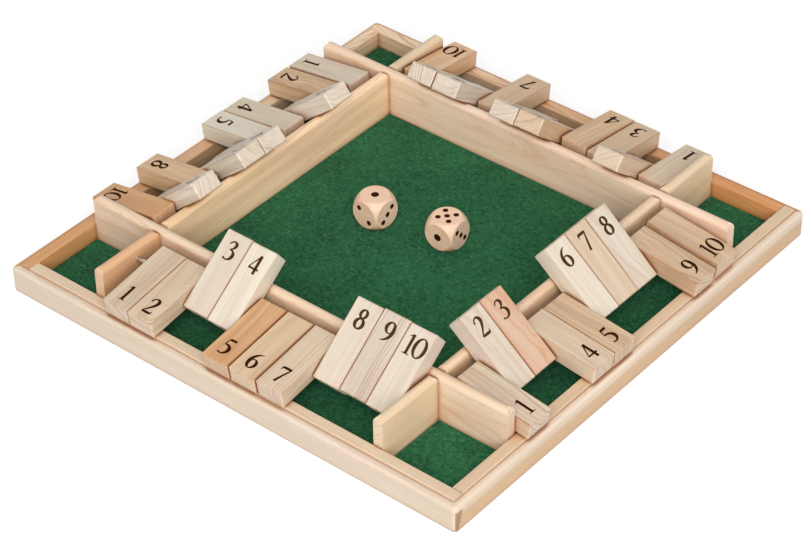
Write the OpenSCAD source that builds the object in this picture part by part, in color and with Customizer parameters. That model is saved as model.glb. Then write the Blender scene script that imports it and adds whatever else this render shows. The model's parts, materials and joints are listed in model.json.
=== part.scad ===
// Four-way shut-the-box board: a square felted tray with four racks of ten hinged tiles and two dice.
// Z = 0 is the underside of the board, the origin is under the middle of the playing field.

/* [Frame] */
// Thickness of the outer rails
rail_t = 4; // [3:0.5:8]
// Height of the outer rails
rail_h = 15.4; // [12:0.1:22]
// Rounding along the outer top edge of the rails
rail_round = 2; // [0.5:0.1:2.4]
// Rounding along the outer bottom edge of the rails
rail_foot_round = 1; // [0.3:0.1:1.5]
// Rounding of the four upright corners of the board
rail_corner = 2.6; // [2.4:0.1:3]
// Thickness of the ledge strips inside the rails
ledge_t = 6.5; // [4:0.5:10]
// Height of the ledge strips above the base panel
ledge_h = 11; // [8:0.1:18]
// Easing of the long top edges of the ledge strips
ledge_ease = 0.6; // [0.2:0.1:1.5]

/* [Floor] */
// Thickness of the base panel
base_t = 5.9; // [3:0.1:9]
// Thickness of the felt
felt_t = 1; // [0.6:0.1:2]
// Gap between the felt and the ledge strips
felt_gap = 0.2; // [0.1:0.1:1]

/* [Walls] */
// Thickness of the walls and the partitions
wall_t = 6; // [4:0.5:9]
// Height of the walls and the partitions above the felt
wall_h = 28; // [20:0.5:36]
// Rounding of the top corners at the wall ends
wall_end_round = 3.6; // [0.5:0.1:6]

/* [Rods] */
// Diameter of the steel rods
rod_d = 3; // [2:0.1:5]
// Height of the rods above the felt
rod_h = 19.8; // [14:0.1:26]
// Depth of the blind holes that hold the rods
rod_hole_depth = 4; // [2:0.1:5]
// Radial clearance of a rod in its holes
rod_hole_clear = 0.05; // [0.02:0.01:0.1]
// Gap between a rod end and the bottom of its hole
rod_end_gap = 0.2; // [0.1:0.1:0.5]

/* [Tiles] */
// Length of a tile
tile_l = 46.5; // [36:0.1:60]
// Width of a tile
tile_w = 16.9; // [13:0.1:22]
// Thickness of a tile
tile_t = 10; // [6:0.1:12]
// Distance from the inner end of a tile to its bore
tile_pivot = 11.5; // [8:0.1:16]
// Rounding of the tile ends
tile_end_round = 1; // [0.4:0.1:2]
// Rounding of the long edges of a tile
tile_edge_round = 0.6; // [0.2:0.1:1.5]
// Radial running clearance of a tile on its rod
tile_bore_clear = 0.08; // [0.02:0.01:0.1]
// Gap between a tile and the surface it rests on
tile_rest_gap = 0.05; // [0.02:0.01:0.2]

/* [Racks] */
// Play left between the walls beside the ten tiles of a side
rack_play = 12.5; // [12.3:0.1:20]
// Gap between the wall and the inner end of a tile
tile_inner_gap = 4.95; // [2:0.05:10]
// Length by which a tile reaches past the ledge strip
tile_overhang = 2.2; // [0:0.1:3.5]

/* [Dice] */
// Edge length of a die
die_size = 18; // [12:0.5:22]
// Diameter of the sphere that trims the corners of a die
die_ball = 24.2; // [18:0.1:30]
// Spacing of the outer pips from the middle of a face
pip_step = 3.5; // [2.5:0.1:5]
// Diameter of a pip
pip_d = 2.6; // [1.6:0.1:3.2]
// Diameter of the single large pip
pip_big_d = 3.9; // [2.6:0.1:5]
// Depth of a pip
pip_depth = 0.35; // [0.2:0.05:0.8]

/* [Hidden] */
$fn = 64;
felt_top = base_t + felt_t;
tile_reach = tile_l - tile_pivot;
field = 10 * tile_w + rack_play;
wall_in = field / 2;
wall_out = wall_in + wall_t;
rod_y = wall_out + tile_inner_gap + tile_pivot;
rail_in = rod_y + tile_reach - tile_overhang;
ledge_in = rail_in - ledge_t;
rod_z = felt_top + rod_h;
ledge_top = base_t + ledge_h;
rod_len = field + 2 * (rod_hole_depth - rod_end_gap);
hole_d = rod_d + 2 * rod_hole_clear;
bore_d = rod_d + 2 * tile_bore_clear;

// A lowered tile rests on the outer top edge of the ledge strip.
rest_dx = rail_in - rod_y;
rest_dz = rod_z - ledge_top - tile_rest_gap;
// A raised tile leans on the round top of the wall.
lean_dx = rod_y - wall_in - wall_t / 2;
lean_dz = felt_top + wall_h - wall_t / 2 - rod_z;
lean_gap = wall_t / 2 + tile_t / 2 + tile_rest_gap;

sides = ["front", "right", "back", "left"];
// Gap before each tile of a side, tiles 1 to 10, measured from the wall at the tile 1 end.
tile_gap = [
  [8.1, 0.2, 0.2, 0.2, 0.8, 0.9, 0.9, 0.4, 0.2, 0.2],
  [0.6, 1.1, 0.3, 0.8, 0.2, 1.3, 0.2, 0.2, 1.1, 3.1],
  [0.3, 0.5, 0.2, 0.7, 1.2, 0.2, 5.7, 0.7, 0.6, 1.2],
  [3.7, 1.5, 1.4, 2.6, 0.2, 0.4, 0.2, 0.9, 0.2, 0.2]
];
// The bores are drilled by eye. This is how far each lies below the middle of its tile.
bore_low = [
  [0.4, 0.3, -0.7, -0.7, 0, 0, 0, -0.2, -0.2, -0.3],
  [0, 0.3, 0.1, -0.3, -0.6, 0.2, 0.3, 0.7, 0, 0],
  [-0.4, 0, -0.4, 0.5, 0.2, -0.3, -0.3, -0.3, 0, -0.6],
  [-0.2, 0, 0.3, -0.2, -0.5, 0.5, 0.7, -0.1, 0.6, 0.8]
];
// How much farther each tile reaches outwards from its bore than it should.
bore_back = [
  [0.2, 0.2, 0.4, 0, 0.2, 0, -0.4, 0, 0.6, 0.2],
  [0.1, -0.5, -0.3, 0, 0.2, -0.3, -0.2, -0.3, 0.3, -0.4],
  [-0.2, 0, 0.2, 0.6, 0, 0, 0.1, 0, 0, 0.2],
  [-0.2, 0, 0, -0.5, 0.2, -0.2, 0, 0.2, -0.1, -0.2]
];
// 1 for a tile drawn raised, 0 for a tile drawn lowered.
tile_up = [
  [0, 0, 1, 1, 0, 0, 0, 1, 1, 1],
  [0, 1, 1, 0, 0, 1, 1, 1, 0, 0],
  [0, 1, 0, 0, 1, 1, 0, 1, 1, 0],
  [0, 0, 1, 0, 0, 1, 1, 0, 1, 0]
];
// Position on the field and turn of the two dice.
die_left_at = [-32, 8.3];
die_left_turn = -3;
die_right_at = [10.2, 17.6];
die_right_turn = 3.4;

fixed_nodes = ["base_panel", "felt",
  "rail_front", "rail_right", "rail_back", "rail_left",
  "ledge_front", "ledge_right", "ledge_back", "ledge_left",
  "long_wall_front", "long_wall_back", "cross_wall_left", "cross_wall_right",
  "partitions", "rods", "die_left", "die_right"];

pine = [0.91, 0.80, 0.66];
tan_pine = [0.86, 0.67, 0.46];
green = [0.12, 0.35, 0.22];
steel = [0.72, 0.72, 0.73];

// Rectangle from the origin with four round corners.
module soft_rect(a, b, r) {
  translate([r, 0])
    square([a - 2 * r, b]);
  translate([0, r])
    square([a, b - 2 * r]);
  for (x = [r, a - r], y = [r, b - r])
    translate([x, y])
      circle(r);
}

module on_side(k) {
  rotate([0, 0, 90 * k])
    children();
}

module base_panel() {
  color(pine)
    translate([-rail_in, -rail_in, 0])
      cube([2 * rail_in, 2 * rail_in, base_t]);
}

module felt() {
  side = 2 * (ledge_in - felt_gap);
  color(green)
    translate([-side / 2, -side / 2, base_t])
      cube([side, side, felt_t]);
}

// Rail section measured outwards from the inner face.
module rail_section() {
  square([rail_t - rail_round, rail_h]);
  translate([0, rail_foot_round])
    square([rail_t, rail_h - rail_round - rail_foot_round]);
  square([rail_t - rail_foot_round, rail_h / 2]);
  translate([rail_t - rail_round, rail_h - rail_round])
    circle(rail_round);
  translate([rail_t - rail_foot_round, rail_foot_round])
    circle(rail_foot_round);
}

// Outer part of the rail section, which turns round each corner of the board.
module corner_section() {
  intersection() {
    translate([rail_corner - rail_t, 0])
      rail_section();
    square([rail_corner, rail_h]);
  }
}

// Plan of one rail, with mitres from the inner corners outwards.
module mitre_plan() {
  far = rail_in + 2 * rail_t;
  polygon([[-rail_in, -rail_in], [rail_in, -rail_in], [far, -far], [-far, -far]]);
}

// Straight rail with a rounded corner at each end, cut on the mitre.
module rail(k) {
  corner_at = rail_in + rail_t - rail_corner;
  on_side(k)
    color(k < 2 ? pine : tan_pine)
      intersection() {
        union() {
          translate([corner_at, -rail_in, 0])
            rotate([90, 0, -90])
              linear_extrude(2 * corner_at)
                rail_section();
          for (x = [-corner_at, corner_at])
            translate([x, -corner_at, 0])
              rotate_extrude()
                corner_section();
        }
        translate([0, 0, -1])
          linear_extrude(rail_h + 2)
            mitre_plan();
      }
}

module ledge_section() {
  translate([ledge_ease, 0])
    square([ledge_t - 2 * ledge_ease, ledge_h]);
  square([ledge_t, ledge_h - ledge_ease]);
  for (x = [ledge_ease, ledge_t - ledge_ease])
    translate([x, ledge_h - ledge_ease])
      circle(ledge_ease);
}

// Each strip runs into one corner and butts against its neighbour in the other.
module ledge(k) {
  on_side(k)
    color(k < 2 ? pine : tan_pine)
      translate([rail_in, -rail_in, base_t])
        rotate([90, 0, -90])
          mirror([1, 0, 0])
            linear_extrude(rail_in + ledge_in)
              ledge_section();
}

// Upright board along X with a round top and rounded top corners.
module wall_board(len) {
  intersection() {
    translate([-len / 2, 0, 0])
      rotate([90, 0, 90])
        linear_extrude(len) {
          translate([-wall_t / 2, 0])
            square([wall_t, wall_h - wall_t / 2]);
          translate([0, wall_h - wall_t / 2])
            circle(wall_t / 2);
        }
    translate([-len / 2, wall_t / 2 + 1, 0])
      rotate([90, 0, 0])
        linear_extrude(wall_t + 2) {
          square([len, wall_h - wall_end_round]);
          translate([wall_end_round, 0])
            square([len - 2 * wall_end_round, wall_h]);
          for (x = [wall_end_round, len - wall_end_round])
            translate([x, wall_h - wall_end_round])
              circle(wall_end_round);
        }
  }
}

module long_wall(s) {
  color(pine)
    difference() {
      translate([0, s * (wall_in + wall_t / 2), felt_top])
        wall_board(2 * ledge_in);
      for (x = [-rod_y, rod_y])
        translate([x, s * (wall_in - 1), rod_z])
          rotate([-90 * s, 0, 0])
            cylinder(d = hole_d, h = rod_hole_depth + 1);
    }
}

module cross_wall(s) {
  color(pine)
    translate([s * (wall_in + wall_t / 2), 0, felt_top])
      rotate([0, 0, 90])
        wall_board(field);
}

module partitions() {
  len = ledge_in - wall_out;
  color(pine)
    for (sx = [-1, 1], sy = [-1, 1])
      difference() {
        translate([sx * (wall_in + wall_t / 2), sy * (wall_out + len / 2), felt_top])
          rotate([0, 0, 90])
            wall_board(len);
        translate([sx * (wall_in - 1), sy * rod_y, rod_z])
          rotate([0, 90 * sx, 0])
            cylinder(d = hole_d, h = rod_hole_depth + 1);
      }
}

module rods() {
  color(steel)
    for (k = [0:3])
      on_side(k)
        translate([-rod_len / 2, -rod_y, rod_z])
          rotate([0, 90, 0])
            cylinder(d = rod_d, h = rod_len);
}

// Tile about its bore: length towards -Y, width along +X from 0.
module tile_body(low, back) {
  difference() {
    translate([0, -back, low])
      intersection() {
        translate([0, tile_pivot, -tile_t / 2])
          rotate([0, 0, -90])
            linear_extrude(tile_t)
              soft_rect(tile_l, tile_w, tile_end_round);
        translate([0, -tile_reach, -tile_t / 2])
          rotate([90, 0, 90])
            linear_extrude(tile_w)
              soft_rect(tile_l, tile_t, tile_end_round);
        translate([0, tile_pivot, -tile_t / 2])
          rotate([90, 0, 0])
            linear_extrude(tile_l)
              soft_rect(tile_w, tile_t, tile_edge_round);
      }
    translate([-1, 0, 0])
      rotate([0, 90, 0])
        cylinder(d = bore_d, h = tile_w + 2);
  }
}

// Turn of a tile from level to its rest on the ledge strip and on the wall.
function flat_drop(low) =
  atan2(rest_dz, rest_dx) - asin((tile_t / 2 - low) / norm([rest_dx, rest_dz]));
function raised_turn(low) =
  180 - atan2(lean_dz, lean_dx) - asin((lean_gap + low) / norm([lean_dx, lean_dz]));

function gap_sum(k, n) = n == 0 ? 0 : gap_sum(k, n - 1) + tile_gap[k][n - 1];

module tile(k, n) {
  low = bore_low[k][n - 1];
  start = gap_sum(k, n) + (n - 1) * tile_w - wall_in;
  turn = tile_up[k][n - 1] == 1 ? -raised_turn(low) : flat_drop(low);
  color(pine)
    on_side(k)
      translate([start, -rod_y, rod_z])
        rotate([turn, 0, 0])
          tile_body(low, bore_back[k][n - 1]);
}

// Pip places of one face, turned by a quarter where the diagonal runs the other way.
function pips(v) = concat(
  v % 2 == 1 ? [[0, 0]] : [],
  v > 1 ? [[-1, 1], [1, -1]] : [],
  v > 3 ? [[1, 1], [-1, -1]] : [],
  v > 5 ? [[-1, 0], [1, 0]] : []);

module pip_face(v) {
  d = v == 1 ? pip_big_d : pip_d;
  ball = (d * d / 4 + pip_depth * pip_depth) / (2 * pip_depth);
  for (p = pips(v))
    translate([p[0] * pip_step, p[1] * pip_step, die_size / 2 + ball - pip_depth])
      sphere(ball);
}

// Die with the given faces up, towards -Y and towards +X; flip turns the diagonal of the last.
module die(at, turn, up, front, right, flip) {
  color(pine)
    translate([at[0], at[1], felt_top + die_size / 2])
      rotate([0, 0, turn])
        difference() {
          intersection() {
            cube(die_size, center = true);
            sphere(d = die_ball);
          }
          pip_face(up);
          rotate([180, 0, 0])
            pip_face(7 - up);
          rotate([90, 0, 0])
            pip_face(front);
          rotate([-90, 0, 0])
            pip_face(7 - front);
          rotate([90, 0, 90])
            rotate([0, 0, flip])
              pip_face(right);
          rotate([90, 0, -90])
            pip_face(7 - right);
        }
}

module die_left() {
  die(die_left_at, die_left_turn, 1, 2, 3, 90);
}

module die_right() {
  die(die_right_at, die_right_turn, 5, 1, 3, 0);
}

base_panel();
felt();
rail(0);  // rail_front
rail(1);  // rail_right
rail(2);  // rail_back
rail(3);  // rail_left
ledge(0);  // ledge_front
ledge(1);  // ledge_right
ledge(2);  // ledge_back
ledge(3);  // ledge_left
long_wall(-1);  // long_wall_front
long_wall(1);  // long_wall_back
cross_wall(-1);  // cross_wall_left
cross_wall(1);  // cross_wall_right
partitions();
rods();
die_left();
die_right();
tile(0, 1);  // tile_front_1
tile(0, 2);  // tile_front_2
tile(0, 3);  // tile_front_3
tile(0, 4);  // tile_front_4
tile(0, 5);  // tile_front_5
tile(0, 6);  // tile_front_6
tile(0, 7);  // tile_front_7
tile(0, 8);  // tile_front_8
tile(0, 9);  // tile_front_9
tile(0, 10);  // tile_front_10
tile(1, 1);  // tile_right_1
tile(1, 2);  // tile_right_2
tile(1, 3);  // tile_right_3
tile(1, 4);  // tile_right_4
tile(1, 5);  // tile_right_5
tile(1, 6);  // tile_right_6
tile(1, 7);  // tile_right_7
tile(1, 8);  // tile_right_8
tile(1, 9);  // tile_right_9
tile(1, 10);  // tile_right_10
tile(2, 1);  // tile_back_1
tile(2, 2);  // tile_back_2
tile(2, 3);  // tile_back_3
tile(2, 4);  // tile_back_4
tile(2, 5);  // tile_back_5
tile(2, 6);  // tile_back_6
tile(2, 7);  // tile_back_7
tile(2, 8);  // tile_back_8
tile(2, 9);  // tile_back_9
tile(2, 10);  // tile_back_10
tile(3, 1);  // tile_left_1
tile(3, 2);  // tile_left_2
tile(3, 3);  // tile_left_3
tile(3, 4);  // tile_left_4
tile(3, 5);  // tile_left_5
tile(3, 6);  // tile_left_6
tile(3, 7);  // tile_left_7
tile(3, 8);  // tile_left_8
tile(3, 9);  // tile_left_9
tile(3, 10);  // tile_left_10
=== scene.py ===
import json
import math
import random

import bmesh
import bpy
from mathutils import Matrix, Vector


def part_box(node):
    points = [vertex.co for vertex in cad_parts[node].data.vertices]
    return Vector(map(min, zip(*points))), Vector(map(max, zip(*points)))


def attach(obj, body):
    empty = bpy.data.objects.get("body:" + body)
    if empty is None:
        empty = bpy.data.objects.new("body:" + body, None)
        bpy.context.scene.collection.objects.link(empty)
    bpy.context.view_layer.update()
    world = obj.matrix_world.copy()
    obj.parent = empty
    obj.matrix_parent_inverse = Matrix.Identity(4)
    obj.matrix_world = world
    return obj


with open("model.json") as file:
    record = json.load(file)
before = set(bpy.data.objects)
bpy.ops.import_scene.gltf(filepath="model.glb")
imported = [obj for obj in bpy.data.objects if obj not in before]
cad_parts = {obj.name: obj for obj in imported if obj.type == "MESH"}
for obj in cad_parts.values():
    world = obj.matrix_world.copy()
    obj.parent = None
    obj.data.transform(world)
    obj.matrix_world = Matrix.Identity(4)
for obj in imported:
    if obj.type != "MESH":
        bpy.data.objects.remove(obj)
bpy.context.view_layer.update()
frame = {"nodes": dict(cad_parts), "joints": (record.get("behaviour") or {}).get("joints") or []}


# Rails, ledge strips and base panel.
# The outside of the board is planed pine: thin mitred rails, and a taller ledge strip glued inside each.
# The back and left sides were cut from a more orange plank than the front and right ones.

nodes = frame["nodes"]
MM = 0.001
X = Vector((1, 0, 0))
Y = Vector((0, 1, 0))
SIDES = ["front", "right", "back", "left"]


def srgb(red, green, blue):
    """Linear colour of an 8-bit screen colour."""
    def linear(value):
        value = value / 255
        return value / 12.92 if value < 0.04045 else ((value + 0.055) / 1.055) ** 2.4
    return (linear(red), linear(green), linear(blue), 1)


def add(tree, kind, inputs=None, **settings):
    """New shader node; inputs maps a socket to a value or to another node's output."""
    new = tree.nodes.new(kind)
    for name, value in settings.items():
        setattr(new, name, value)
    for key, value in (inputs or {}).items():
        if isinstance(value, bpy.types.NodeSocket):
            tree.links.new(value, new.inputs[key])
        else:
            new.inputs[key].default_value = value
    return new


def math_node(tree, operation, first, second=0.0, third=0.0):
    return add(tree, "ShaderNodeMath", {0: first, 1: second, 2: third}, operation=operation).outputs[0]


def vector_node(tree, operation, first, second=(0, 0, 0)):
    return add(tree, "ShaderNodeVectorMath", {0: first, 1: second}, operation=operation).outputs[0]


def blend_colour(tree, amount, first, second, way="MIX"):
    """Mix of two colours. Sockets 6 and 7 are the node's colour inputs, and output 2 is its colour."""
    inputs = {"Factor": amount, 6: first, 7: second}
    return add(tree, "ShaderNodeMix", inputs, data_type="RGBA", blend_type=way).outputs[2]


def rise(tree, value, start, end, top=1.0):
    """0 where a value is at start, and top where it is at end. Either may be the larger."""
    return add(tree, "ShaderNodeMapRange", {0: value, 1: start, 2: end, 3: 0.0, 4: top}).outputs[0]


def size_along(tree, vector, direction):
    """How long a vector is along a direction, whichever way it points."""
    dot = add(tree, "ShaderNodeVectorMath", {0: vector, 1: direction}, operation="DOT_PRODUCT")
    return math_node(tree, "ABSOLUTE", dot.outputs["Value"])


def noise(tree, point, stretch, detail=2.0, roughness=0.5):
    """Noise of a point in millimetres, with the given number of cells per millimetre each way."""
    scaled = vector_node(tree, "MULTIPLY", point, stretch)
    inputs = {"Vector": scaled, "Scale": 1.0, "Detail": detail, "Roughness": roughness}
    return add(tree, "ShaderNodeTexNoise", inputs)


def wander(tree, point, stretch, detail, reach):
    """Slow random shift of a point, by up to half of reach either way."""
    shift = noise(tree, point, stretch, detail).outputs["Color"]
    shift = vector_node(tree, "SUBTRACT", shift, (0.5, 0.5, 0.5))
    return vector_node(tree, "MULTIPLY", shift, reach)


def openness(tree, reach):
    """How open a point lies: 1 on a free face, less in a corner or gap up to reach millimetres wide."""
    return add(tree, "ShaderNodeAmbientOcclusion", {"Distance": reach * MM}, samples=6).outputs["AO"]


RESIN = srgb(150, 104, 66)
CUT_END = srgb(226, 205, 184)
CUT_RING = srgb(156, 112, 84)
# Painted shade: a warm tone for inside corners, and a darker one for seams and the gaps between tiles.
CORNER_PAINTED_SHADE = srgb(184, 122, 68)
SEAM_PAINTED_SHADE = srgb(150, 86, 40)


def grain_group():
    """Solid pine: growth rings round a wandering pith along X, fine fibres and end grain."""
    tree = bpy.data.node_groups.new("pine_grain", "ShaderNodeTree")
    for name, kind in (
        ("Point", "Vector"), ("End", "Float"), ("Pale", "Color"), ("Band", "Color"),
        ("Contrast", "Float"), ("Ring", "Float"), ("Edge", "Float"), ("Wave", "Float"),
    ):
        tree.interface.new_socket(name, in_out="INPUT", socket_type=f"NodeSocket{kind}")
    for name, kind in (("Color", "Color"), ("Height", "Float")):
        tree.interface.new_socket(name, in_out="OUTPUT", socket_type=f"NodeSocket{kind}")
    given = tree.nodes.new("NodeGroupInput").outputs
    point = given["Point"]
    # The pith wanders by a few millimetres along the board, and the fibres waver.
    drift = wander(tree, point, (0.008, 0.03, 0.03), 1.5, (0, 14, 14))
    waver = {0: wander(tree, point, (0.045, 0.06, 0.06), 2.0, (0, 2.2, 2.2)), "Scale": given["Wave"]}
    waver = add(tree, "ShaderNodeVectorMath", waver, operation="SCALE").outputs[0]
    point = vector_node(tree, "ADD", point, waver)
    across = vector_node(tree, "ADD", point, drift)
    across = vector_node(tree, "MULTIPLY", across, (0, 1, 1))
    radius = add(tree, "ShaderNodeVectorMath", {0: across}, operation="LENGTH").outputs["Value"]
    turns = math_node(tree, "DIVIDE", radius, given["Ring"])
    # Dry and wet years: ring widths differ, and each ring is a little wavy.
    years = {"W": math_node(tree, "MULTIPLY", radius, 0.16), "Detail": 2.0}
    years = add(tree, "ShaderNodeTexNoise", years, noise_dimensions="1D").outputs[0]
    turns = math_node(tree, "MULTIPLY_ADD", years, 3.0, turns)
    uneven = noise(tree, point, (0.01, 0.05, 0.05), 1.0).outputs[0]
    turns = math_node(tree, "MULTIPLY_ADD", uneven, 0.9, turns)
    phase = math_node(tree, "FRACT", turns)
    # Each ring darkens slowly into late wood and ends sharply.
    ramp = add(tree, "ShaderNodeValToRGB", {0: phase})
    stops = ramp.color_ramp.elements
    stops[0].color = (0.25, 0.25, 0.25, 1)
    stops[1].color = (0.3, 0.3, 0.3, 1)
    for place, depth in ((0.1, 0.0), (0.6, 0.1), (0.84, 0.7), (0.93, 1.0)):
        stops.new(place).color = (depth, depth, depth, 1)
    # No two rings are equally strong, and the fibres break them up.
    ring_number = math_node(tree, "FLOOR", turns)
    strength = add(tree, "ShaderNodeTexWhiteNoise", {"W": ring_number}, noise_dimensions="1D").outputs[0]
    strength = math_node(tree, "MULTIPLY_ADD", strength, 0.85, 0.15)
    fibre = noise(tree, point, (0.05, 1.4, 1.4), 4.0, 0.6).outputs[0]
    line = math_node(tree, "MULTIPLY", ramp.outputs[0], strength)
    amount = math_node(tree, "MULTIPLY", line, given["Contrast"])
    amount = math_node(tree, "MULTIPLY", amount, math_node(tree, "MULTIPLY_ADD", fibre, 1.0, 0.5))
    colour = blend_colour(tree, amount, given["Pale"], given["Band"])
    cloud = rise(tree, noise(tree, point, (0.012, 0.16, 0.16), 3.0).outputs[0], 0.38, 0.72, 0.55)
    colour = blend_colour(tree, math_node(tree, "MULTIPLY", cloud, given["Contrast"]), colour, given["Band"])
    shade = math_node(tree, "MULTIPLY_ADD", fibre, 0.16, 0.92)
    shade = add(tree, "ShaderNodeCombineColor", {0: shade, 1: shade, 2: shade}).outputs[0]
    colour = blend_colour(tree, 1.0, colour, shade, "MULTIPLY")
    # Patches run a little pinker or yellower than the rest.
    tinge = noise(tree, point, (0.015, 0.09, 0.09), 2.0).outputs["Color"]
    tinge = vector_node(tree, "MULTIPLY", tinge, (0.06, 0.08, 0.14))
    tinge = vector_node(tree, "ADD", tinge, (0.97, 0.96, 0.93))
    colour = blend_colour(tree, 1.0, colour, tinge, "MULTIPLY")
    # Short resin flecks.
    fleck = rise(tree, noise(tree, point, (0.12, 1.6, 1.6), 1.0).outputs[0], 0.72, 0.8, 0.45)
    colour = blend_colour(tree, fleck, colour, RESIN)
    # Cut ends are paler, and the finish soaks into their rings.
    end = rise(tree, given["End"], 0.6, 0.8)
    colour = blend_colour(tree, math_node(tree, "MULTIPLY", end, 0.4), colour, CUT_END)
    soaked = math_node(tree, "MULTIPLY", line, math_node(tree, "MULTIPLY_ADD", given["Contrast"], 1.1, 0.05))
    soaked = math_node(tree, "MULTIPLY", soaked, 0.75)
    colour = blend_colour(tree, math_node(tree, "MULTIPLY", end, soaked), colour, CUT_RING)
    # Painted shade: inside corners are painted warmer and darker, and seams, gaps and the edge lines fed in
    # from each tile darker still.
    colour = blend_colour(tree, rise(tree, openness(tree, 12.0), 0.68, 0.38, 0.35), colour, CORNER_PAINTED_SHADE)
    seam_shade = rise(tree, openness(tree, 3.0), 0.8, 0.4, 0.85)
    edge_shade = math_node(tree, "MULTIPLY", given["Edge"], math_node(tree, "MULTIPLY_ADD", cloud, 0.5, 0.7))
    colour = blend_colour(tree, math_node(tree, "MAXIMUM", seam_shade, edge_shade), colour, SEAM_PAINTED_SHADE)
    result = tree.nodes.new("NodeGroupOutput")
    tree.links.new(colour, result.inputs["Color"])
    # Late wood lies a little lower than the fibres round it.
    tree.links.new(math_node(tree, "MULTIPLY_ADD", amount, -0.6, fibre), result.inputs["Height"])
    return tree


PINE_GRAIN = grain_group()


def new_material(name, finish):
    """New material, its node tree and its shader, with the finish set on the shader's own sockets."""
    material = bpy.data.materials.new(name)
    material.use_nodes = True
    tree = material.node_tree
    shader = tree.nodes["Principled BSDF"]
    for socket, value in finish.items():
        shader.inputs[socket].default_value = value
    return material, tree, shader


def add_bump(tree, shader, height, strength, distance):
    """Bump from a height between 0 and 1, which is distance millimetres deep."""
    bump = add(tree, "ShaderNodeBump", {"Height": height, "Strength": strength, "Distance": distance * MM})
    tree.links.new(bump.outputs[0], shader.inputs["Normal"])


def pine(name, middle, grain, across, pale, band, contrast, ring, pith, seed, heart=None, wave=1.0):
    """Pine cut along grain. pith is how far the heart lies from the middle, in millimetres.

    pale is the ground colour, band that of the late wood, and contrast how far the late wood shows.
    ring is the mean width of a ring, in millimetres, and wave is how crooked the fibres run.
    heart is the angle of the pith from across, round the grain, in radians. Without one it is anywhere.
    """
    chance = random.Random(seed)
    anywhere = chance.uniform(0, math.tau)
    heart = anywhere if heart is None else heart
    grain = Vector(grain).normalized()
    across = Vector(across).normalized()
    across = Matrix.Rotation(heart, 3, grain) @ across
    up = grain.cross(across)
    tilt = Matrix.Rotation(math.radians(chance.uniform(-2.5, 2.5)), 3, up)
    axes = tilt @ Matrix((grain, across, up)).transposed()
    origin = Vector(middle) + axes.col[1] * pith * MM + axes.col[0] * chance.uniform(-0.5, 0.5)
    material, tree, shader = new_material(name, {"Roughness": 0.4, "Specular IOR Level": 0.45})
    place = add(tree, "ShaderNodeTexCoord").outputs
    local = {"Vector": place["Object"], "Location": origin, "Rotation": axes.to_euler(),
             "Scale": (MM, MM, MM)}
    wood = add(tree, "ShaderNodeGroup", {
        "Point": add(tree, "ShaderNodeMapping", local, vector_type="TEXTURE").outputs[0],
        "End": size_along(tree, place["Normal"], grain),
        "Pale": pale, "Band": band, "Contrast": contrast, "Ring": ring, "Wave": wave,
    }, node_tree=PINE_GRAIN)
    tree.links.new(wood.outputs["Color"], shader.inputs["Base Color"])
    add_bump(tree, shader, wood.outputs["Height"], 0.25, 0.2)
    return material


def paint(node, material):
    nodes[node].material_slots[0].material = material


def middle_of(node):
    low, high = (Vector(corner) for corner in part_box(node))
    return (low + high) / 2


LATE = srgb(178, 140, 102)
LATE_ORANGE = srgb(188, 118, 64)
CREAM = srgb(216, 196, 171)
BLUSH = srgb(232, 198, 164)
# Near white: partly the ledges' paler wood towards the back left corner, partly painted light in that shaded
# corner.
PALE_BLUSH_PAINTED_LIGHT = srgb(253, 226, 192)
RUSSET = srgb(200, 128, 68)
# Ground colour, late wood and contrast of each piece.
FRAME_TONES = {
    "rail_front": (srgb(224, 206, 185), LATE, 0.3), "ledge_front": (srgb(222, 198, 170), LATE, 0.3),
    "rail_right": (srgb(214, 179, 139), LATE, 0.35), "ledge_right": (srgb(220, 192, 160), LATE, 0.35),
    "rail_back": (BLUSH, LATE_ORANGE, 0.7), "ledge_back": (PALE_BLUSH_PAINTED_LIGHT, LATE_ORANGE, 0.7),
    "rail_left": (srgb(206, 150, 96), LATE_ORANGE, 0.7),
    "ledge_left": (srgb(214, 164, 112), LATE_ORANGE, 0.7),
}
FRAME_RING = 4.2
FRAME_HEART = 1.2
FRAME_WAVE = 0.4
for number, side in enumerate(SIDES):
    along, over = (X, Y) if side in ("front", "back") else (Y, X)
    for part, pith in (("rail", 38), ("ledge", 26)):
        node = f"{part}_{side}"
        pale, band, contrast = FRAME_TONES[node]
        seed = 11 * number + pith
        paint(node, pine(f"pine_{node}", middle_of(node), along, over, pale, band, contrast,
                         FRAME_RING, pith, seed, FRAME_HEART, FRAME_WAVE))


def wood_of(node):
    """The node tree of a piece's material, and the pine group in it."""
    tree = nodes[node].material_slots[0].material.node_tree
    return tree, next(item for item in tree.nodes if item.bl_idname == "ShaderNodeGroup")


def spot_in(tree):
    """Where a point of the piece lies along X, Y and Z, in metres."""
    return add(tree, "ShaderNodeSeparateXYZ", {0: add(tree, "ShaderNodeTexCoord").outputs["Object"]}).outputs


def tint(node, amount, tone):
    """Blends the ground colour of a piece towards a tone, on top of what it has."""
    tree, wood = wood_of(node)
    pale = wood.inputs["Pale"]
    ground = pale.links[0].from_socket if pale.is_linked else tuple(pale.default_value)
    tree.links.new(blend_colour(tree, amount, ground, tone), pale)


def fade(node, axis, tone, start=-110.0, end=110.0):
    """Lets the ground colour of a piece turn into a tone between two places on an axis, in millimetres."""
    tree = wood_of(node)[0]
    tint(node, rise(tree, spot_in(tree)[axis], start * MM, end * MM), tone)


# The rail's rounded top is painted paler than its side: partly a painted highlight along the rounded edge,
# partly a darker tan band in the side's wood.
fade("rail_right", "Z", srgb(231, 212, 190), 9.0, 12.0)
fade("rail_left", "Y", BLUSH)
# Towards the back left corner the ledges turn nearly white: partly their own tone, partly painted light
# where the corner lies in shade.
fade("ledge_left", "Y", PALE_BLUSH_PAINTED_LIGHT)
fade("rail_back", "X", RUSSET)
fade("ledge_back", "X", srgb(220, 156, 99))

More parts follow.
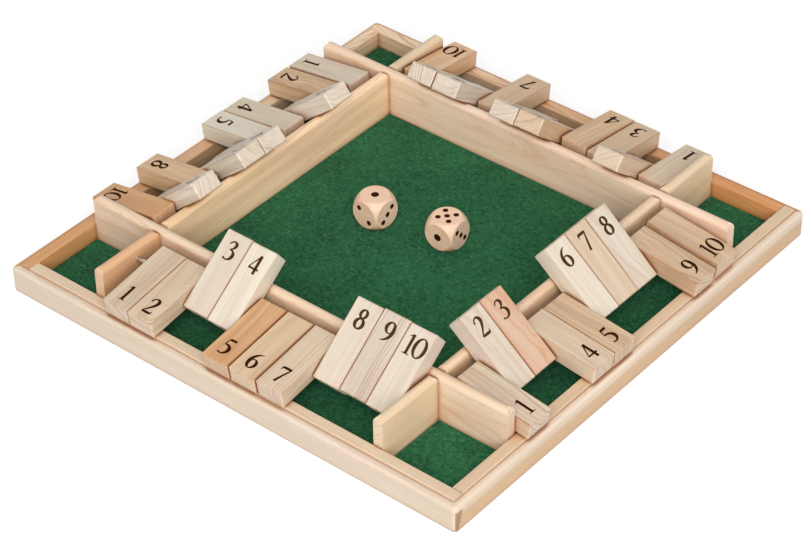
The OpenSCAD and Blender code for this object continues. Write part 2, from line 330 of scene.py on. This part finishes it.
# The mitre at the front right corner bares a leaning strip of brown end grain, below the rounded edge.
# Its width at the foot, its blurred edge and its top are in millimetres.
STRIP_FOOT = 1.2
STRIP_LEAN = 0.27
STRIP_BLUR = 0.6
STRIP_TOP = 12.4
tree = wood_of("rail_right")[0]
spot = spot_in(tree)
height = math_node(tree, "DIVIDE", spot["Z"], MM)
from_end = math_node(tree, "MULTIPLY_ADD", spot["Y"], 1 / MM, -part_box("rail_right")[0][1] / MM)
leaning = math_node(tree, "MULTIPLY_ADD", height, -STRIP_LEAN, from_end)
strip = rise(tree, leaning, STRIP_FOOT + STRIP_BLUR, STRIP_FOOT)
below_edge = rise(tree, height, STRIP_TOP + STRIP_BLUR, STRIP_TOP, 0.8)
tint("rail_right", math_node(tree, "MULTIPLY", strip, below_edge), srgb(146, 104, 70))

paint("base_panel", pine("pine_base", middle_of("base_panel"), X, Y, CREAM, LATE,
                         contrast=0.5, ring=4.0, pith=60, seed=3))


# Felt.
# One sheet of dark green felt glued to the base panel, under the walls.
# It is pressed wool with pale loose fibres, slightly cloudy where it was rubbed.

FELT_DEEP = srgb(0, 41, 23)
FELT_LIGHT = srgb(49, 126, 79)
FELT_HAIR = srgb(96, 156, 118)


def point_in_mm(tree):
    """Where a point of the piece lies, in millimetres."""
    place = add(tree, "ShaderNodeTexCoord").outputs["Object"]
    return vector_node(tree, "MULTIPLY", place, (1 / MM, 1 / MM, 1 / MM))


def felt_material():
    material, tree, shader = new_material("green_felt", {
        "Roughness": 0.95, "Specular IOR Level": 0.06, "Sheen Weight": 0.05, "Sheen Roughness": 0.6})
    point = point_in_mm(tree)
    cloud = noise(tree, point, (0.03, 0.03, 0.03), 3.0).outputs[0]
    wool = noise(tree, point, (0.5, 0.55, 0.5), 5.0, 0.75).outputs[0]
    hairs = math_node(tree, "MAXIMUM", noise(tree, point, (1.5, 0.3, 1.0), 2.0).outputs[0],
                      noise(tree, point, (0.3, 1.6, 1.0), 2.0).outputs[0])
    amount = math_node(tree, "MULTIPLY_ADD", wool, 1.9, math_node(tree, "MULTIPLY_ADD", cloud, 0.5, -0.75))
    colour = blend_colour(tree, amount, FELT_DEEP, FELT_LIGHT)
    colour = blend_colour(tree, rise(tree, hairs, 0.58, 0.74, 0.5), colour, FELT_HAIR)
    tree.links.new(colour, shader.inputs["Base Color"])
    add_bump(tree, shader, math_node(tree, "ADD", wool, hairs), 0.6, 0.4)
    return material


paint("felt", felt_material())


# Walls and partitions.
# Round-topped pine boards glued on the felt: two long ones, two between them and four short ones.
# They are paler than the rails, with wide soft figure.

LATE_SOFT = srgb(208, 160, 118)
WALL_RING = 6.0
WALL_WAVE = 0.5
# Direction of the grain and across it, ground colour, contrast, pith, seed and heart of each board.
WALLS = {
    "long_wall_front": (X, Y, srgb(232, 209, 184), 0.7, 22, 5, 0.25),
    "long_wall_back": (X, Y, srgb(239, 212, 187), 0.6, 20, 6, 0.35),
    "cross_wall_left": (Y, X, srgb(254, 222, 180), 0.8, 60, 7, 0.9),
    "cross_wall_right": (Y, X, srgb(230, 205, 176), 0.6, 24, 8, 0.25),
    "partitions": (Y, X, srgb(229, 206, 172), 0.5, 115, 9, 0.25),
}
for node, (along, over, pale, contrast, pith, seed, heart) in WALLS.items():
    paint(node, pine(f"pine_{node}", middle_of(node), along, over, pale, LATE_SOFT, contrast,
                     WALL_RING, pith, seed, heart, WALL_WAVE))
fade("cross_wall_left", "Y", srgb(254, 220, 184), -60.0, 30.0)

# The partition near the front left corner was cut from an orange plank.
tree = wood_of("partitions")[0]
spot = spot_in(tree)
to_left = math_node(tree, "LESS_THAN", spot["X"], 0.0)
to_front = math_node(tree, "LESS_THAN", spot["Y"], 0.0)
tint("partitions", math_node(tree, "MULTIPLY", to_left, to_front), srgb(219, 174, 131))


# Rods.
# Four 3 mm bright steel rods, drawn and cut to length.
# Two are held in blind holes in the long walls, and two in blind holes in the partitions.

def steel_material():
    material, tree, shader = new_material("drawn_steel", {"Metallic": 1.0})
    scratch = noise(tree, point_in_mm(tree), (0.8, 0.8, 6.0), 3.0).outputs[0]
    colour = blend_colour(tree, scratch, srgb(176, 176, 178), srgb(214, 214, 214))
    tree.links.new(colour, shader.inputs["Base Color"])
    rough = math_node(tree, "MULTIPLY_ADD", scratch, 0.2, 0.2)
    tree.links.new(rough, shader.inputs["Roughness"])
    return material


paint("rods", steel_material())


# Number tiles.
# Forty softened pine blocks, ten on each rod, each cut from its own piece of plank.
# The numeral is printed in brownish black near the free end of both broad faces.

hinges = {joint["child"]: joint for joint in frame["joints"]}
NUMERAL_HIGH = 10.9 * MM
NUMERAL_WIDEN = 1.26
PEN_WIDEN = 1.34
FLAT_MARGIN = 5.0 * MM
RAISED_MARGIN = 4.6 * MM
INK_THICK = 0.04 * MM
# Width in millimetres and strength of the painted shade line at the long edges and at the ends, where the
# gaps between tiles fall.
EDGE_GAP_SHADE = (0.7, 1.0)
END_GAP_SHADE = (0.5, 0.7)
# Strength of the painted shade on the tile's flanks.
FLANK_GAP_SHADE = 0.06
PALE = srgb(218, 205, 188)
IVORY = srgb(219, 205, 182)
WHITISH = srgb(227, 217, 199)
WARM = srgb(216, 186, 152)
HONEY = srgb(224, 189, 147)
APRICOT = srgb(236, 198, 156)
TAN = srgb(210, 166, 118)
LIGHT_TAN = srgb(216, 176, 128)
ROSE = srgb(212, 180, 153)
LATE_BROWN = srgb(148, 106, 74)
LATE_ROSE = srgb(198, 136, 100)
LATE_RUSSET = srgb(172, 100, 48)
# One letter for each tile from 1 to 10, for the plank that it was cut from.
TILE_TONES = {
    "front": "CcpbtwcpPp",
    "right": "CpRcWbcpWW",
    "back": "ccwowpwBBO",
    "left": "iobibBBoBT",
}
# Ground colour, late wood and contrast of each plank.
TONES = {
    "b": (WHITISH, LATE, 0.35), "B": (WHITISH, LATE_BROWN, 0.6),
    "p": (PALE, LATE, 0.4), "P": (PALE, LATE_BROWN, 0.7),
    "c": (CREAM, LATE, 0.6), "C": (CREAM, LATE_BROWN, 0.7),
    "w": (WARM, LATE, 0.6), "W": (WARM, LATE_BROWN, 0.8),
    "o": (HONEY, LATE_BROWN, 0.6), "O": (APRICOT, LATE_ORANGE, 0.8),
    "t": (LIGHT_TAN, LATE_RUSSET, 0.95), "T": (TAN, LATE_ORANGE, 0.95),
    "i": (IVORY, LATE, 0.45), "R": (ROSE, LATE_ROSE, 0.7),
}


def ring_stroke(centre, wide, high, thin, swell, power=1):
    """Closed loop round a centre: half its width and height, and a pen that swells at its sides."""
    angles = [math.pi * step / 8 for step in range(17)]
    return [(centre[0] + wide * math.sin(angle), centre[1] + high * math.cos(angle),
             thin + swell * abs(math.sin(angle)) ** power) for angle in angles]


# Strokes of each figure on a height of 1: points of x, y and half the width of the pen.
STROKES = {
    "1": [[(0.09, 0.85, 0.012), (0.17, 0.885, 0.022), (0.24, 0.955, 0.03)],
          [(0.25, 0.975, 0.045), (0.25, 0.5, 0.045), (0.25, 0.015, 0.045)],
          [(0.09, 0.015, 0.015), (0.25, 0.02, 0.02), (0.41, 0.015, 0.015)]],
    "2": [[(0.08, 0.72, 0.03), (0.085, 0.79, 0.028), (0.13, 0.9, 0.024), (0.24, 0.965, 0.034),
           (0.35, 0.9, 0.052), (0.385, 0.74, 0.056), (0.32, 0.53, 0.046), (0.2, 0.31, 0.032),
           (0.065, 0.085, 0.02)],
          [(0.04, 0.05, 0.04), (0.22, 0.055, 0.052), (0.4, 0.06, 0.048), (0.44, 0.12, 0.022),
           (0.465, 0.2, 0.01)]],
    "3": [[(0.06, 0.78, 0.018), (0.1, 0.88, 0.024), (0.22, 0.965, 0.03), (0.34, 0.9, 0.05),
           (0.35, 0.76, 0.05), (0.28, 0.62, 0.032), (0.16, 0.54, 0.014)],
          [(0.16, 0.54, 0.014), (0.3, 0.52, 0.032), (0.4, 0.4, 0.052), (0.405, 0.24, 0.056),
           (0.33, 0.09, 0.042), (0.2, 0.028, 0.026), (0.11, 0.05, 0.03), (0.055, 0.1, 0.038)]],
    "4": [[(0.335, 0.965, 0.026), (0.18, 0.63, 0.02), (0.03, 0.3, 0.018)],
          [(0.015, 0.275, 0.036), (0.25, 0.275, 0.036), (0.485, 0.275, 0.036)],
          [(0.34, 0.985, 0.048), (0.34, 0.5, 0.048), (0.34, 0.01, 0.048)]],
    "5": [[(0.13, 0.93, 0.05), (0.28, 0.93, 0.052), (0.42, 0.94, 0.052)],
          [(0.13, 0.96, 0.018), (0.1, 0.77, 0.018), (0.07, 0.6, 0.016)],
          [(0.07, 0.59, 0.03), (0.2, 0.6, 0.04), (0.33, 0.51, 0.052), (0.385, 0.35, 0.058),
           (0.355, 0.17, 0.05), (0.25, 0.05, 0.032), (0.13, 0.035, 0.028), (0.055, 0.085, 0.036)]],
    "6": [[(0.43, 0.975, 0.012), (0.3, 0.92, 0.028), (0.16, 0.77, 0.046), (0.085, 0.56, 0.056),
           (0.075, 0.34, 0.056), (0.12, 0.13, 0.046), (0.235, 0.028, 0.026), (0.36, 0.1, 0.042),
           (0.415, 0.28, 0.054), (0.38, 0.46, 0.046), (0.28, 0.565, 0.028), (0.17, 0.53, 0.018),
           (0.09, 0.44, 0.014)]],
    "7": [[(0.035, 0.76, 0.012), (0.06, 0.85, 0.024), (0.1, 0.92, 0.05), (0.28, 0.93, 0.054),
           (0.45, 0.935, 0.05)],
          [(0.435, 0.95, 0.022), (0.31, 0.52, 0.034), (0.185, 0.02, 0.044)]],
    "8": [ring_stroke((0.25, 0.76), 0.135, 0.205, 0.028, 0.02),
          ring_stroke((0.25, 0.275), 0.17, 0.247, 0.028, 0.026)],
    "0": [ring_stroke((0.28, 0.5), 0.225, 0.472, 0.024, 0.03, 1.5)],
}
STROKES["9"] = [[(0.5 - x, 1 - y, half) for x, y, half in STROKES["6"][0]]]
FIGURE_WIDE = 0.5
FIGURE_STEP = 0.44
FIGURE_KERN = 0.03


def smooth_stroke(points, steps=6):
    """Catmull-Rom curve through the points of a stroke."""
    closed = math.dist(points[0][:2], points[-1][:2]) < 0.001
    before = points[-2] if closed else points[0]
    after = points[1] if closed else points[-1]
    row = [before, *points, after]
    curve = []
    for a, b, c, d in zip(row, row[1:], row[2:], row[3:]):
        a, b, c, d = Vector(a), Vector(b), Vector(c), Vector(d)
        for step in range(steps):
            t = step / steps
            curve.append(0.5 * (2 * b + (c - a) * t + (2 * a - 5 * b + 4 * c - d) * t * t
                                + (3 * b - a - 3 * c + d) * t ** 3))
    curve.append(Vector(points[-1]))
    return curve


def figure_strips(text):
    """Left and right edges of every stroke of a number, centred across, on a height of 1."""
    width = FIGURE_WIDE + FIGURE_STEP * (len(text) - 1)
    strips = []
    for place, figure in enumerate(text):
        shift = place * FIGURE_STEP - width / 2 - (FIGURE_KERN if place else 0)
        for stroke in STROKES[figure]:
            curve = smooth_stroke(stroke)
            left, right = [], []
            for index, spot in enumerate(curve):
                ahead = curve[min(index + 1, len(curve) - 1)] - curve[max(index - 1, 0)]
                side = Vector((-ahead.y, ahead.x)).normalized() * spot.z * PEN_WIDEN
                left.append((spot.x + side.x + shift, spot.y + side.y))
                right.append((spot.x - side.x + shift, spot.y - side.y))
            strips.append((left, right))
    return strips


def tile_axes(child):
    """Pivot of a tile, and its axes at rest: towards the free end, across, and out of the upper face."""
    mesh = nodes[child].data
    pivot = Vector(hinges[child]["pos_m"])
    across = -Vector(hinges[child]["axis"])
    broad = max(mesh.polygons, key=lambda face: face.area)
    out = broad.normal.copy()
    towards = across.cross(out)
    if (middle_of(child) - pivot).dot(towards) < 0:
        out = -out
        towards = -towards
    return pivot, towards, across, out


def reach_along(child, pivot, direction):
    return max((vertex.co - pivot).dot(direction) for vertex in nodes[child].data.vertices)


def paint_gap_shade(child, pivot, towards, across, out):
    """Feeds a warm painted shade line along the long edges and ends of a tile's broad faces, where the gaps
    between tiles fall, and a faint one on its flanks.
    """
    tree, wood = wood_of(child)
    place = add(tree, "ShaderNodeTexCoord").outputs
    masks = []
    for direction, (wide, strength) in ((across, EDGE_GAP_SHADE), (towards, END_GAP_SHADE)):
        low = -reach_along(child, pivot, -direction)
        high = reach_along(child, pivot, direction)
        half = (high - low) / 2
        centre = pivot + direction * (low + high) / 2
        offset = vector_node(tree, "SUBTRACT", place["Object"], tuple(centre))
        from_middle = size_along(tree, offset, direction)
        masks.append(rise(tree, from_middle, half - wide * MM, half - 0.1 * MM, strength))
    broad = rise(tree, size_along(tree, place["Normal"], out), 0.35, 0.7)
    edge = math_node(tree, "MULTIPLY", math_node(tree, "MAXIMUM", *masks), broad)
    flank = rise(tree, size_along(tree, place["Normal"], across), 0.6, 0.9, FLANK_GAP_SHADE)
    tree.links.new(math_node(tree, "MAXIMUM", edge, flank), wood.inputs["Edge"])


def ink_material(name, full, worn):
    material, tree, shader = new_material(name, {"Roughness": 0.5, "Specular IOR Level": 0.03})
    wear = noise(tree, point_in_mm(tree), (1.2, 1.2, 1.2), 4.0, 0.7).outputs[0]
    tree.links.new(blend_colour(tree, wear, full, worn), shader.inputs["Base Color"])
    return material


INK = ink_material("printed_ink", srgb(38, 12, 0), srgb(64, 32, 6))
# Paler ink for the face shown on raised tiles: a painted sheen of light on the raised numerals.
SHEEN_PAINTED_INK = ink_material("printed_ink_painted_sheen", srgb(52, 32, 14), srgb(88, 62, 38))


def show(name, data):
    """New object in the scene that holds a mesh, a light or a camera."""
    shown = bpy.data.objects.new(name, data)
    bpy.context.collection.objects.link(shown)
    return shown


def piece_from(shape, name, *materials):
    """New piece with a finished mesh."""
    mesh = bpy.data.meshes.new(name)
    shape.to_mesh(mesh)
    shape.free()
    for material in materials:
        mesh.materials.append(material)
    return show(name, mesh)


def print_number(name, text, child):
    """The number on both broad faces of a tile, upright for the player on that side.

    The face that shows on a raised tile gets a paler, browner ink: a painted sheen of light on the raised
    numeral.
    """
    pivot, towards, across, out = tile_axes(child)
    shape = bmesh.new()
    free_end = reach_along(child, pivot, towards)
    faces = (
        (out, -towards, free_end - FLAT_MARGIN),
        (-out, towards, free_end - RAISED_MARGIN - NUMERAL_HIGH),
    )
    for ink_choice, (normal, up, base) in enumerate(faces):
        start = pivot + towards * base + normal * reach_along(child, pivot, normal)
        for left, right in figure_strips(text):
            rows = []
            for edge in (left, right):
                spots = [start + across * (x * NUMERAL_HIGH * NUMERAL_WIDEN) + up * (y * NUMERAL_HIGH)
                         for x, y in edge]
                rows.append([shape.verts.new(spot + normal * INK_THICK) for spot in spots])
                rows.append([shape.verts.new(spot - normal * INK_THICK) for spot in spots])
            upper_left, lower_left, upper_right, lower_right = rows
            for i in range(len(left) - 1):
                j = i + 1
                for corners in (
                    (upper_left[i], upper_right[i], upper_right[j], upper_left[j]),
                    (upper_left[i], upper_left[j], lower_left[j], lower_left[i]),
                    (upper_right[j], upper_right[i], lower_right[i], lower_right[j]),
                ):
                    shape.faces.new(corners).material_index = ink_choice
    bmesh.ops.recalc_face_normals(shape, faces=shape.faces)
    number = piece_from(shape, name, INK, SHEEN_PAINTED_INK)
    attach(number, child)


for side_index, side in enumerate(SIDES):
    for index in range(10):
        child = f"tile_{side}_{index + 1}"
        pivot, towards, across, out = tile_axes(child)
        pale, band, contrast = TONES[TILE_TONES[side][index]]
        seed = 101 * side_index + 7 * index + 1
        chance = random.Random(seed)
        ring = chance.uniform(2.8, 4.6)
        pith = chance.uniform(18, 60)
        paint(child, pine(f"pine_{child}", pivot, towards, across, pale, band, contrast, ring, pith, seed))
        paint_gap_shade(child, pivot, towards, across, out)
        print_number(f"number_{side}_{index + 1}", str(index + 1), child)


# Dice.
# Two wooden dice, tumbled round, with shallow pips drilled and painted black.
# They lie loose on the felt, and their opposite faces add to seven.

# Turn on the felt in degrees; values on the top, front and right faces; turn of the pips on the right one.
DIE_FACES = {"die_left": (-3.0, 1, 2, 3, 90), "die_right": (3.4, 5, 1, 3, 0)}
DIE_SIZE = 18 * MM
PIP_STEP = 3.5 * MM
PIP_WIDE = 2.6 * MM
PIP_BIG = 3.9 * MM
PIP_DEEP = 0.35 * MM
PAINT = 0.02 * MM
PAINT_RIM = 0.25 * MM
PIP_SIDES = 28
PIP_RINGS = 4
DIE_WOOD = srgb(240, 201, 171)
DIE_LATE = srgb(208, 154, 118)


def pip_places(value):
    """Places of the pips on a face, in steps from its middle."""
    spots = [(0, 0)] if value % 2 else []
    spots += [(-1, 1), (1, -1)] if value > 1 else []
    spots += [(1, 1), (-1, -1)] if value > 3 else []
    spots += [(-1, 0), (1, 0)] if value > 5 else []
    return spots


def pip_circle(radius, middle, height):
    """Points of a circle round the middle of a pip, at a height over the die's centre."""
    angles = [math.tau * step / PIP_SIDES for step in range(PIP_SIDES)]
    return [Vector((middle[0] + radius * math.cos(angle), middle[1] + radius * math.sin(angle), height))
            for angle in angles]


def paint_pips(name, child):
    """Painted skins in the pip hollows of one die."""
    turn, up, front, right, flip = DIE_FACES[child]
    at = Matrix.Translation(middle_of(child)) @ Matrix.Rotation(math.radians(turn), 4, "Z")
    quarter = math.pi / 2
    placed = [
        (up, Matrix()), (7 - up, Matrix.Rotation(math.pi, 4, "X")),
        (front, Matrix.Rotation(quarter, 4, "X")), (7 - front, Matrix.Rotation(-quarter, 4, "X")),
        (right, Matrix.Rotation(quarter, 4, "Z") @ Matrix.Rotation(quarter, 4, "X")
         @ Matrix.Rotation(math.radians(flip), 4, "Z")),
        (7 - right, Matrix.Rotation(-quarter, 4, "Z") @ Matrix.Rotation(quarter, 4, "X")),
    ]
    shape = bmesh.new()
    for value, face in placed:
        wide = PIP_BIG if value == 1 else PIP_WIDE
        ball = (wide * wide / 4 + PIP_DEEP * PIP_DEEP) / (2 * PIP_DEEP)
        open_angle = math.asin(wide / 2 / ball)
        ball_height = DIE_SIZE / 2 + ball - PIP_DEEP
        for x, y in pip_places(value):
            middle = (x * PIP_STEP, y * PIP_STEP)
            circles = []
            for ring in range(1, PIP_RINGS + 1):
                angle = open_angle * ring / PIP_RINGS
                radius = (ball - PAINT) * math.sin(angle)
                depth = (ball - PAINT) * math.cos(angle)
                circles.append(pip_circle(radius, middle, ball_height - depth))
            # The paint spreads a little over the rim of the hollow.
            for radius in (wide / 2, wide / 2 + PAINT_RIM):
                circles.append(pip_circle(radius, middle, DIE_SIZE / 2 + PAINT))
            rings = [[shape.verts.new(at @ face @ spot) for spot in circle] for circle in circles]
            shape.faces.new(rings[0])
            for inner, outer in zip(rings, rings[1:]):
                for i in range(PIP_SIDES):
                    j = (i + 1) % PIP_SIDES
                    shape.faces.new((inner[i], outer[i], outer[j], inner[j]))
    pips = piece_from(shape, name, INK)
    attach(pips, child)


for index, child in enumerate(DIE_FACES):
    paint(child, pine(f"pine_{child}", middle_of(child), X, Y, DIE_WOOD, DIE_LATE,
                      contrast=0.25, ring=3.4, pith=26, seed=71 + index))
    paint_pips(f"pips_{child}", child)


# Floor, lights and camera.
# A white table and backdrop that stay white to the eye and keep the board's shadow.
# A broad low light stands beyond the front right corner, and a smaller, higher one nearer to it.

WHITE = (1, 1, 1, 1)
TABLE_GREY = srgb(190, 190, 190)
TABLE_GLOW = 0.6
TABLE_REACH = 6
SKY_LIGHT = 0.52


def seen_directly(tree):
    """1 where a camera ray, or one that met only metal or glass, arrives."""
    path = add(tree, "ShaderNodeLightPath")
    seen = math_node(tree, "MAXIMUM", path.outputs["Is Camera Ray"], path.outputs["Is Glossy Ray"])
    return math_node(tree, "MAXIMUM", seen, path.outputs["Is Transmission Ray"])


def floor_material():
    material, tree, _ = new_material("white_table", {})
    tree.nodes.clear()
    matte = add(tree, "ShaderNodeBsdfDiffuse", {"Color": TABLE_GREY})
    strength = math_node(tree, "MULTIPLY", seen_directly(tree), TABLE_GLOW)
    glow = add(tree, "ShaderNodeEmission", {"Color": WHITE, "Strength": strength})
    both = add(tree, "ShaderNodeAddShader", {0: matte.outputs[0], 1: glow.outputs[0]})
    result = add(tree, "ShaderNodeOutputMaterial")
    tree.links.new(both.outputs[0], result.inputs["Surface"])
    return material


table_mesh = bpy.data.meshes.new("table_top")
table_corners = [(TABLE_REACH * x, TABLE_REACH * y, 0) for x, y in ((-1, -1), (1, -1), (1, 1), (-1, 1))]
table_mesh.from_pydata(table_corners, [], [(0, 1, 2, 3)])
table_mesh.materials.append(floor_material())
table_top = show("table_top", table_mesh)

scene = bpy.context.scene
scene.view_settings.view_transform = "Standard"
world = bpy.data.worlds.new("studio")
scene.world = world
world.use_nodes = True
sky = world.node_tree
background = sky.nodes["Background"]
background.inputs["Color"].default_value = WHITE
strength = math_node(sky, "MULTIPLY_ADD", seen_directly(sky), 1 - SKY_LIGHT, SKY_LIGHT)
sky.links.new(strength, background.inputs["Strength"])


def soft_light(name, place, wide, high, power):
    """Soft rectangular light that is aimed at the middle of the board. Sizes in metres, power in watts."""
    light = bpy.data.lights.new(name, "AREA")
    light.shape = "RECTANGLE"
    light.size = wide
    light.size_y = high
    light.energy = power
    lamp = show(name, light)
    lamp.location = place
    lamp.rotation_euler = (-Vector(place)).to_track_quat("-Z", "Y").to_euler()


soft_light("front", (1.65, -1.63, 1.0), 3.2, 0.9, 33)
soft_light("high_front", (0.9, -1.18, 1.35), 1.2, 0.8, 18)

CAMERA_AZIMUTH = math.radians(40.118)
CAMERA_ELEVATION = math.radians(38.271)
CAMERA_ROLL = math.radians(1.022)
CAMERA_AIM = Vector((0.00755, -0.01477, 0.0069))
CAMERA_DISTANCE = 1.4896
away = Vector((math.sin(CAMERA_AZIMUTH) * math.cos(CAMERA_ELEVATION),
               -math.cos(CAMERA_AZIMUTH) * math.cos(CAMERA_ELEVATION), math.sin(CAMERA_ELEVATION)))
level = Vector((math.cos(CAMERA_AZIMUTH), math.sin(CAMERA_AZIMUTH), 0))
upright = away.cross(level)
right = level * math.cos(CAMERA_ROLL) - upright * math.sin(CAMERA_ROLL)
upright = level * math.sin(CAMERA_ROLL) + upright * math.cos(CAMERA_ROLL)
lens = bpy.data.cameras.new("camera")
lens.lens = 125.1
lens.sensor_width = 36
lens.clip_end = 20
camera = show("camera", lens)
camera.matrix_world = (Matrix.Translation(CAMERA_AIM + away * CAMERA_DISTANCE)
                       @ Matrix((right, upright, away)).transposed().to_4x4())
scene.camera = camera
